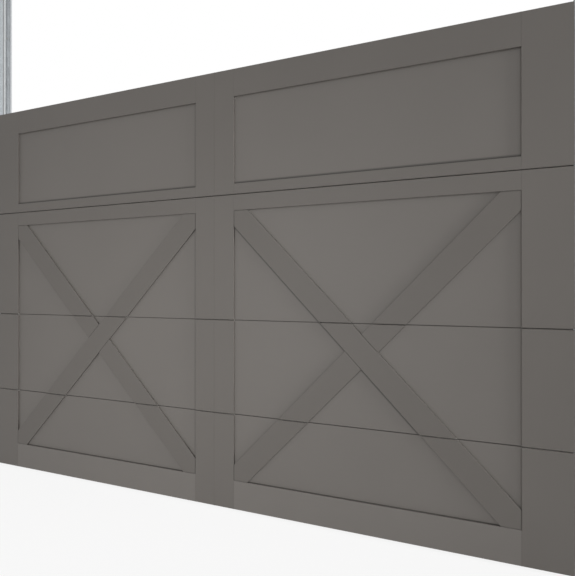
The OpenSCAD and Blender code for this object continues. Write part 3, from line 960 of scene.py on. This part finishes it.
@dataclass
class Filler:
    """Beads of painted filler in the boards' butt joints, sunk a little below their faces."""

    butt_groove: float = 2.6 * MM
    butt_foot: float = 0.5 * MM
    seam_groove: float = 4.0 * MM
    seam_foot: float = 1.8 * MM
    sink: float = 0.3 * MM
    depth: float = 1.0 * MM
    boards: Boards = field(default_factory=Boards)
    paint: Colour = from_screen(101, 97, 93)

    def build(self) -> None:
        """Models the beads of every rail's ends and of the seam between the middle boards."""
        beads = []
        middle, side = self.boards.panel_sides()
        butts = (middle - self.boards.butt_gap / 2, side + self.boards.butt_gap / 2)
        for low, high in self.boards.rail_heights().values():
            for x in butts:
                for hand in (1, -1):
                    beads.append(self.bead(hand * x, low, high, self.butt_groove, self.butt_foot))
        for section in SECTIONS:
            low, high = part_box(f"{section}_stile_boards")
            beads.append(self.bead(0.0, low.z, high.z, self.seam_groove, self.seam_foot))
        piece = Bench.join(beads, "joint_filler")
        place_piece(piece, "leaf", Paint("filler", self.paint, Grain.UPRIGHT).material())

    def bead(self, x: float, low: float, high: float, groove: float, foot: float) -> bpy.types.Object:
        """Models one upright bead that narrows towards the skin.

        Args:
            x: Its middle.
            low: Its lower end.
            high: Its upper end.
            groove: Its width at the front.
            foot: Its width at the back.

        Returns:
            The bead.
        """
        front = self.boards.front() + self.sink
        bead = Bench.primitive(
            "cube", "bead", size=1.0, location=(x, front + self.depth / 2, (low + high) / 2),
            scale=(groove, self.depth, high - low))
        Bench.settle(bead)
        with Bench.editing(bead):
            Bench.pick_faces(bead, lambda centre, normal: normal.y > FACES_ALONG)
            bpy.ops.transform.resize(value=(foot / groove, 1, 1))
        return bead


@dataclass
class LeafScrews:
    """The screws that hold the hardware on the back of the leaf."""

    plate: float = 2 * MM
    strut_plate: float = 1.2 * MM
    hinge_dx: float = 12 * MM
    hinge_dz: tuple[float, ...] = (-48 * MM, -31 * MM, 31 * MM, 48 * MM)
    corner_dz: tuple[float, ...] = (9 * MM, 84 * MM, 108 * MM)
    strut_height: float = 72 * MM
    strut_flange: float = 9.5 * MM
    strut_pitch: float = 255 * MM
    strut_pairs: int = 5
    handle_foot: float = 17 * MM
    handle_dz: float = 15 * MM
    handle_plate: float = 3 * MM
    turn_step_deg: float = 23.0

    def build(self) -> None:
        """Models one screw and copies it to every hole."""
        spots = self.hinges() + self.corners() + self.struts() + self.handle()
        places = [
            facing(Vector((0, 1, 0)), spot, self.turn_step_deg * number)
            for number, spot in enumerate(mirrored(spots))
        ]
        screws = Bench.smooth(Bench.copies(Fastener().build(), places, "leaf_screws"))
        place_piece(screws, "leaf", ZINC_SCREW.material())

    def back(self, plate: float) -> float:
        """The back face of a plate on the stile plates."""
        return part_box("lower_stile_plates")[1].y + plate

    def hinges(self) -> list[Vector]:
        """Screw places of the hinges in the right half.

        Returns:
            The places on the hinges' back faces.
        """
        columns = []
        for node in ("centre_hinges", "end_hinges"):
            low, high = right_half(node)
            columns.append((low.x + high.x) / 2)
        return [
            Vector((column + dx, self.back(self.plate), joint + dz))
            for column in columns for dx in (-self.hinge_dx, self.hinge_dx)
            for joint in Boards.joints() for dz in self.hinge_dz
        ]

    def corners(self) -> list[Vector]:
        """Screw places of the corner brackets in the right half.

        Returns:
            The places on the brackets' back faces.
        """
        low, high = right_half("top_brackets")
        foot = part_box("bottom_brackets")[0].z
        middle = (low.x + high.x) / 2
        columns = (middle - self.hinge_dx, middle + self.hinge_dx)
        top = [Vector((x, self.back(self.plate), low.z + dz)) for x in columns for dz in self.corner_dz]
        bottom = [Vector((x, self.back(self.plate), foot + dz)) for x in columns for dz in self.corner_dz[:1]]
        return top + bottom

    def struts(self) -> list[Vector]:
        """Screw places along the struts' four flanges in the right half.

        Returns:
            The places on the flanges' back faces.
        """
        low, high = (corner.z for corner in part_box("struts"))
        rows = []
        for foot in (low, high - self.strut_height):
            rows += [foot + self.strut_flange, foot + self.strut_height - self.strut_flange]
        y = self.back(self.strut_plate)
        return [Vector((self.strut_pitch * step, y, row)) for row in rows for step in range(1, self.strut_pairs + 1)]

    def handle(self) -> list[Vector]:
        """Screw places of the lift handle's right foot.

        Returns:
            The places on the foot's back face.
        """
        low, high = right_half("lift_handle")
        foot = high.x - self.handle_foot
        middle = (low.z + high.z) / 2
        y = low.y + self.handle_plate
        return [Vector((foot, y, middle + dz)) for dz in (-self.handle_dz, self.handle_dz)]


@dataclass
class TrackFrame:
    """Tracks, wall angles and what is bolted to them."""

    nodes: Mapping[str, bpy.types.Object]
    track_t: float = 2 * MM
    rivet_dy: float = 14 * MM
    rivet_first: float = 0.28
    rivet_pitch: float = 0.6
    rivet_rows: int = 7
    plate_dz: float = 28 * MM
    plate_dy: tuple[float, ...] = (-18 * MM, 8 * MM)
    anchor_bolt_r: float = 37 * MM
    anchor_bolts: int = 3
    anchor_rim: float = 2 * MM
    nut_turn_deg: float = 17.0
    plate_turn_deg: float = 11.0
    anchor_turn_deg: float = 30.0

    def dress(self) -> None:
        """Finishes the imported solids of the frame."""
        track = TRACK_STEEL.material()
        galvanised = FRAME_GALVANISED.material()
        for side in ("left", "right"):
            dress(self.nodes[f"{side}_track"], track)
            dress(self.nodes[f"{side}_wall_angle"], track)
        for name in ("bearing_plates", "centre_bracket"):
            dress(self.nodes[name], galvanised)
        dress(self.nodes["spring_anchors"], CAST_ALLOY.material())
        dress(self.nodes["shaft_bearings"], BEARING_STEEL.material())

    def build(self) -> None:
        """Adds rivets and bolts."""
        zinc = ZINC_BOLT.material()
        inner, outer = self.rivet_places()
        rivets = Bench.smooth(Bench.copies(Rivet().build(), inner, "track_rivets"))
        place_piece(rivets, "frame", zinc)
        bolt = Fastener(across=10 * MM, head=5 * MM, washer_r=8 * MM, washer=1.4 * MM).build()
        bolts = Bench.smooth(Bench.copies(bolt, outer + self.bolt_places(), "frame_bolts"))
        place_piece(bolts, "frame", zinc)

    def rivet_places(self) -> tuple[list[Matrix], list[Matrix]]:
        """Heads inside the tracks, and nuts outside on the wall angles.

        Returns:
            The heads' places and the nuts' places.
        """
        low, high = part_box("right_track")
        middle = (low.y + high.y) / 2
        web = high.x - self.track_t
        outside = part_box("bearing_plates")[1].x - self.plate_t()
        inner, outer = [], []
        for row in range(self.rivet_rows):
            height = self.rivet_first + row * self.rivet_pitch
            for dy in (-self.rivet_dy, self.rivet_dy):
                for side in (1, -1):
                    away = Vector((side, 0, 0))
                    inner.append(facing(-away, Vector((side * web, middle + dy, height))))
                    outer.append(facing(away, Vector((side * outside, middle + dy, height)), self.nut_turn_deg * row))
        return inner, outer

    @staticmethod
    def plate_t() -> float:
        """The thickness of a bearing plate."""
        low, high = right_half("bearing_plates")
        return high.x - low.x

    def bolt_places(self) -> list[Matrix]:
        """Bolts of the bearing plates and of the spring anchors.

        Returns:
            The bolts' places.
        """
        low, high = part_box("torsion_shaft")
        axis_y, axis_z = (low.y + high.y) / 2, (low.z + high.z) / 2
        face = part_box("bearing_plates")[1].x
        places = []
        for side in (1, -1):
            away = Vector((side, 0, 0))
            for dy in self.plate_dy:
                for dz in (-self.plate_dz, self.plate_dz):
                    places.append(facing(away, Vector((side * face, dy, axis_z + dz)), self.plate_turn_deg))
            flange = self.anchor_face()
            for step in range(self.anchor_bolts):
                angle = math.radians(90 + 360 * step / self.anchor_bolts)
                spoke = Vector((0, math.cos(angle), math.sin(angle))) * self.anchor_bolt_r
                seat = Vector((side * flange, axis_y, axis_z)) + spoke
                places.append(facing(away, seat, self.anchor_turn_deg))
        return places

    def anchor_face(self) -> float:
        """The face of an anchor's flange that looks away from the centre bracket.

        Returns:
            The face's distance from the middle of the door.
        """
        low, high = right_half("spring_anchors")
        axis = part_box("torsion_shaft")
        rim = (high.z - low.z) / 2 - self.anchor_rim
        middle = (axis[0].z + axis[1].z) / 2
        return max(
            v.co.x for v in bpy.data.objects["spring_anchors"].data.vertices if abs(v.co.z - middle) > rim)


@dataclass
class Counterbalance:
    """Shaft, drums, cones, wound springs and lift cables."""

    nodes: Mapping[str, bpy.types.Object]
    spring_turns: int = 110
    turn_steps: int = 20
    wire_sides: int = 8
    cable_sides: int = 8
    cable_cuts: int = 90
    wraps: int = 4
    wrap_pitch: float = 4 * MM
    wrap_gap: float = 0.3 * MM
    screw_side: float = 8 * MM
    screw_height: float = 7 * MM
    screw_angles_deg: tuple[float, ...] = (45.0, 135.0)
    screw_bevel: float = 0.7 * MM
    wire_share: float = 0.98
    ring_sides: int = 64
    eye_sides: int = 28
    ferrule_r: float = 3.4 * MM
    ferrule_h: float = 22 * MM
    ferrule_sides: int = 20
    ferrule_bevel: float = 0.8 * MM
    strands: int = 6
    strand_lay: float = 4 * MM
    strand_depth: float = 0.25 * MM
    strand_relief: float = 0.9
    wound_smooth_deg: float = 60.0
    rope_smooth_deg: float = 50.0
    axis: Vector = field(init=False)
    cable_x: float = field(init=False)
    cable_y: float = field(init=False)
    cable_r: float = field(init=False)

    def __post_init__(self) -> None:
        """Finds the shaft's axis and the right-hand cable in the frame."""
        low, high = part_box("torsion_shaft")
        self.axis = Vector((0, (low.y + high.y) / 2, (low.z + high.z) / 2))
        low, high = right_half("lift_cables")
        self.cable_x = (low.x + high.x) / 2
        self.cable_y = (low.y + high.y) / 2
        self.cable_r = self.cable_x - low.x

    def dress(self) -> None:
        """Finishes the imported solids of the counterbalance."""
        dress(self.nodes["torsion_shaft"], SHAFT_STEEL.material())
        dress(self.nodes["cable_drums"], DRUM_ALLOY.material())
        dress(self.nodes["winding_cones"], CONE_PAINT.material())
        steel = SPRING_STEEL.material()
        for name in ("torsion_springs", "lift_cables"):
            dress(self.nodes[name], steel)

    def build(self) -> None:
        """Models the springs, the cables, the turns of cable on the drums and the set screws."""
        self.springs()
        self.cables()
        self.drum_turns()
        self.set_screws()

    def rope_finish(self) -> bpy.types.Material:
        """Galvanised wire rope, with its strands as a bump round and along it.

        Returns:
            The rope's material.
        """
        surface = WIRE_ROPE.surface()
        x, y, z = surface.split()
        turn = (y - self.cable_y).math("ARCTAN2", abs(x) - self.cable_x)
        waves = (turn * self.strands + z * (2 * math.pi / self.strand_lay)).math("SINE")
        surface.bump(waves, self.strand_depth, self.strand_relief)
        return surface.material

    def springs(self) -> None:
        """Winds one spring with the Screw modifier and mirrors it."""
        low, high = right_half("torsion_springs")
        outer = (high.z - low.z) / 2
        wire = (high.x - low.x) / self.spring_turns / 2 * self.wire_share
        spring = Bench.settle(Bench.primitive(
            "circle", "spring", vertices=self.wire_sides, radius=wire, location=(0, 0, outer - wire),
            rotation=(math.pi / 2, 0, 0)))
        pitch = (high.x - low.x - 2 * wire) / self.spring_turns
        Bench.modify(
            spring, "SCREW", axis="X", angle=2 * math.pi, screw_offset=pitch, iterations=self.spring_turns,
            steps=self.turn_steps, render_steps=self.turn_steps)
        with Bench.editing(spring, "EDGE"):
            bpy.ops.mesh.select_all(action="SELECT")
            bpy.ops.mesh.fill_holes(sides=0)
            bpy.ops.mesh.normals_make_consistent(inside=False)
        place = Matrix.Translation(self.axis + Vector((low.x + wire, 0, 0)))
        springs = Bench.copies(spring, [place, Matrix.Scale(-1, 4, Vector((1, 0, 0))) @ place], "wound_springs")
        Bench.turn_out(springs)
        Bench.smooth(springs, self.wound_smooth_deg)
        place_piece(springs, "frame", SPRING_WIRE.material())
        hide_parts("torsion_springs")

    def cables(self) -> None:
        """Draws the two lift cables with their eyes and ferrules, from the drums to the brackets' pins."""
        low, high = right_half("lift_cables")
        pin_z = low.z + (high.y - low.y) / 2
        eye = (high.y - low.y) / 2 - self.cable_r
        foot = pin_z + eye
        rope = Bench.primitive(
            "cylinder", "rope", vertices=self.cable_sides, radius=self.cable_r, depth=high.z - foot,
            location=(self.cable_x, self.cable_y, (high.z + foot) / 2))
        Bench.settle(rope)
        with Bench.editing(rope, "EDGE"):
            bpy.ops.object.mode_set(mode="OBJECT")
            for edge in rope.data.edges:
                first, second = (rope.data.vertices[index].co for index in edge.vertices)
                edge.select = abs(first.z - second.z) > self.cable_r
            bpy.ops.object.mode_set(mode="EDIT")
            bpy.ops.mesh.subdivide(number_cuts=self.cable_cuts)
        loop = Bench.primitive(
            "torus", "eye", major_radius=eye, minor_radius=self.cable_r, major_segments=self.eye_sides,
            minor_segments=self.cable_sides, location=(self.cable_x, self.cable_y, pin_z),
            rotation=(0, math.pi / 2, 0))
        ferrule = Bench.primitive(
            "cylinder", "ferrule", vertices=self.ferrule_sides, radius=self.ferrule_r, depth=self.ferrule_h,
            location=(self.cable_x, self.cable_y, foot + self.cable_r + self.ferrule_h / 2))
        Bench.modify(Bench.settle(ferrule), "BEVEL", width=self.ferrule_bevel, segments=2)
        one = Bench.join([rope, Bench.settle(loop), ferrule], "cable")
        cables = Bench.copies(one, [Matrix(), Matrix.Scale(-1, 4, Vector((1, 0, 0)))], "rope_cables")
        Bench.turn_out(cables)
        Bench.smooth(cables, self.rope_smooth_deg)
        cables.data.materials.clear()
        cables.data.materials.append(self.rope_finish())
        foot + self.cable_r + self.ferrule_h
        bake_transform(cables)
        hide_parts("lift_cables")
        LOG.info("%s stretch between frame and leaf", cables.name)

    def drum_turns(self) -> None:
        """Lays the turns of cable that stay on the drums."""
        radius = self.axis.y - self.cable_y
        turn = Bench.primitive(
            "torus", "turn", major_radius=radius, minor_radius=self.cable_r - self.wrap_gap / 2,
            major_segments=self.ring_sides, minor_segments=self.cable_sides, rotation=(0, math.pi / 2, 0))
        Bench.settle(turn)
        places = [
            Matrix.Translation(self.axis + Vector((side * (self.cable_x - step * self.wrap_pitch), 0, 0)))
            for step in range(self.wraps) for side in (1, -1)
        ]
        turns = Bench.smooth(Bench.copies(turn, places, "cable_turns"), self.wound_smooth_deg)
        place_piece(turns, "shaft", WOUND_ROPE.material())

    def set_screws(self) -> None:
        """Puts square set screws in the winding cones."""
        screw = Bench.primitive(
            "cube", "set_screw", size=self.screw_side, location=(0, 0, self.screw_height / 2),
            scale=(1, 1, self.screw_height / self.screw_side))
        Bench.modify(Bench.settle(screw), "BEVEL", width=self.screw_bevel, segments=2)
        low, high = right_half("winding_cones")
        radius = (high.z - low.z) / 2
        places = []
        for angle in self.screw_angles_deg:
            spoke = Vector((0, math.cos(math.radians(angle)), math.sin(math.radians(angle))))
            for side in (1, -1):
                seat = Vector((side * (high.x - self.screw_side), 0, 0)) + spoke * radius
                places.append(facing(spoke, self.axis + seat))
        screws = Bench.copies(screw, places, "set_screws")
        place_piece(screws, "shaft", BLACK_OXIDE.material())


@dataclass(frozen=True)
class Lamp:
    """A soft square lamp, and whether shiny surfaces mirror it."""

    name: str
    place: Triple
    aim: Triple
    size: float
    power: float
    spread_deg: float = 180.0
    shine: bool = True

    def hang(self) -> None:
        """Hangs the lamp at its place and turns it to its aim."""
        light = bpy.data.lights.new(self.name, "AREA")
        light.size = self.size
        light.energy = self.power
        light.spread = math.radians(self.spread_deg)
        lamp = bpy.data.objects.new(self.name, light)
        lamp.location = self.place
        lamp.visible_glossy = self.shine
        way = Vector(self.aim) - Vector(self.place)
        lamp.rotation_euler = way.to_track_quat("-Z", "Y").to_euler()
        bpy.context.scene.collection.objects.link(lamp)


@dataclass
class Stage:
    """Floor, light and camera."""

    floor_span: float = 40.0
    floor_tone: float = 0.9
    floor_glow: float = 0.86
    sky: float = 0.45
    lamps: tuple[Lamp, ...] = (
        Lamp("key", (-0.3, -4.2, 1.1), (-0.3, 0.0, 0.6), size=1.2, power=12.5, spread_deg=75.0),
        Lamp("rake", (5.5, -0.55, 1.5), (0.0, 0.0, 1.2), size=0.9, power=20.0, spread_deg=60.0, shine=False),
        Lamp("overhead", (3.0, -5.0, 4.6), (0.6, 0.0, 1.2), size=4.0, power=43.0),
        Lamp("back_fill", (-2.0, 6.0, 5.0), (0.0, 0.0, 1.8), size=4.0, power=110.0),
    )
    stand: Triple = (1.107, -1.933, 1.077)
    azimuth_deg: float = 20.77
    pitch_deg: float = 0.13
    focal_px: float = 440.2
    image_px: float = 576.0
    sensor_mm: float = 36.0
    view_reach: float = 200.0

    def build(self) -> None:
        """Builds the whole stage."""
        self.view()
        self.floor()
        self.world()
        for lamp in self.lamps:
            lamp.hang()
        bpy.context.scene.view_settings.view_transform = "Standard"

    def view(self) -> None:
        """Stands the camera where the photograph was taken."""
        camera = bpy.data.cameras.new("camera")
        camera.sensor_width = self.sensor_mm
        camera.lens = self.focal_px * self.sensor_mm / self.image_px
        camera.clip_end = self.view_reach
        stand = bpy.data.objects.new("camera", camera)
        stand.location = self.stand
        stand.rotation_euler = (math.radians(90 + self.pitch_deg), 0, math.radians(self.azimuth_deg))
        bpy.context.scene.collection.objects.link(stand)
        bpy.context.scene.camera = stand

    @staticmethod
    def seen_rays(graph: Graph) -> Socket:
        """The rays that the eye follows, straight or by way of metal and glass.

        Args:
            graph: The graph that asks.

        Returns:
            One for camera, glossy and transmission rays, and zero for the others.
        """
        camera = graph.node("ShaderNodeLightPath", output="Is Camera Ray")
        outputs = camera.socket.node.outputs
        shiny = [Socket(graph, outputs[kind]) for kind in ("Is Glossy Ray", "Is Transmission Ray")]
        return reduce(Socket.largest, shiny, camera)

    def floor(self) -> None:
        """Lays a pale floor that keeps the object's shadow."""
        floor = Bench.primitive("plane", "floor", size=self.floor_span)
        material = bpy.data.materials.new("floor")
        material.use_nodes = True
        graph = Graph(material.node_tree)
        rays = self.seen_rays(graph)
        matt = graph.node("ShaderNodeBsdfDiffuse", inputs={"Color": (self.floor_tone,) * 3})
        glow = graph.node("ShaderNodeEmission", inputs={"Color": (1, 1, 1), "Strength": 1.0})
        shown = graph.node("ShaderNodeMixShader", inputs={0: rays * self.floor_glow, 1: matt, 2: glow})
        output = material.node_tree.nodes["Material Output"]
        graph.feed(output.inputs["Surface"], shown)
        floor.data.materials.append(material)

    def world(self) -> None:
        """A white backdrop for the eye, and a softer sky for the light."""
        world = bpy.data.worlds.new("studio")
        world.use_nodes = True
        bpy.context.scene.world = world
        graph = Graph(world.node_tree)
        rays = self.seen_rays(graph)
        sky = graph.node("ShaderNodeBackground", inputs={"Color": (1, 1, 1), "Strength": self.sky})
        white = graph.node("ShaderNodeBackground", inputs={"Color": (1, 1, 1), "Strength": 1.0})
        shown = graph.node("ShaderNodeMixShader", inputs={0: rays, 1: sky, 2: white})
        graph.feed(world.node_tree.nodes["World Output"].inputs["Surface"], shown)


def main() -> None:
    """Builds the door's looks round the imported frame."""
    logging.basicConfig(level=logging.INFO, format="%(message)s")
    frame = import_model()
    nodes = frame["nodes"]
    LOG.info("%d packed nodes to dress", len(nodes))
    Stage().build()
    Leaf(nodes).dress()
    Filler().build()
    LeafScrews().build()
    track_frame = TrackFrame(nodes)
    track_frame.dress()
    track_frame.build()
    counterbalance = Counterbalance(nodes)
    counterbalance.dress()
    counterbalance.build()


if __name__ == "__main__":
    main()
